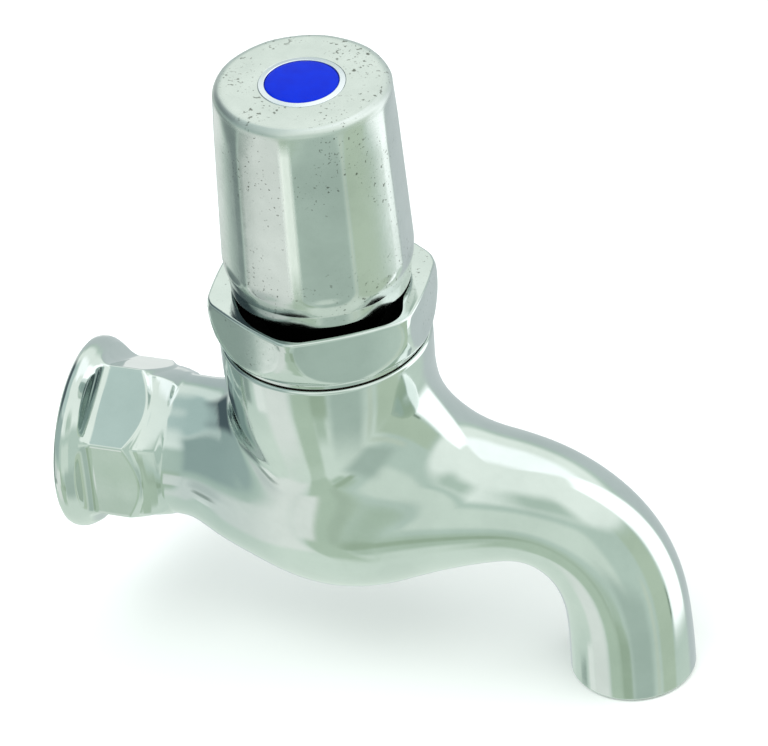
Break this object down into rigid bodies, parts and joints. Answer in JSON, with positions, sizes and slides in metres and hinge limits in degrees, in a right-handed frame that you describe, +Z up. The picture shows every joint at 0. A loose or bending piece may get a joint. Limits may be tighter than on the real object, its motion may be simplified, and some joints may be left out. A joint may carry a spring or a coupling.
{
  "type": "bib tap",
  "caption": "Wall bib tap with a screw-down jumper valve: flanged hexagon inlet, round bowl, hexagon bonnet, tall faceted barrel handle with a blue index button, down-turned spout.",
  "frame": {"origin": "centre of the inlet's mouth, in the plane of the wall flange", "axes": "+X from the wall to the spout along the inlet's axis, +Z up along the spindle"},
  "size_m": [0.1123, 0.0398, 0.1185],
  "materials": {
    "chromed_brass": "polished chrome plate over cast brass",
    "chromed_zinc": "chrome plate, slightly dulled by use",
    "chrome_trim": "satin chrome trim",
    "brass": "machined brass",
    "steel": "plain stainless steel",
    "fibre": "red fibre sheet",
    "packing": "graphited packing",
    "washer_rubber": "moulded rubber",
    "bush_plastic": "moulded nylon",
    "blue_plastic": "gloss moulded plastic"
  },
  "bodies": {
    "fixed": {"body": "chromed_brass", "valve_seat": "brass", "bonnet_washer": "fibre", "bonnet": "chromed_brass", "gland_washer": "brass", "gland_packing": "packing", "gland_follower": "brass", "gland_nut": "brass"},
    "jumper": {"jumper_valve": "brass", "jumper_washer": "washer_rubber", "jumper_keeper": "steel", "jumper_nut": "brass", "jumper_clip": "steel"},
    "handle": {"spindle": "brass", "spline_bush": "bush_plastic", "handle": "chromed_zinc", "handle_screw": "steel", "screw_washer": "steel", "index_button": "blue_plastic", "index_ring": "chrome_trim"}
  },
  "joints": [
    {"name": "spindle_lift", "type": "slide", "parent": "fixed", "child": "jumper", "axis": [0, 0, 1], "range_m": [0, 0.00525]},
    {"name": "handle_turn", "type": "hinge", "parent": "jumper", "child": "handle", "pos_m": [0.0483, 0, 0.05], "axis": [0, 0, 1], "range_deg": [0, 630.1]}
  ],
  "couplings": [
    {"joint": "handle_turn", "follows": "spindle_lift", "rad_per_m": 2094.4}
  ]
}
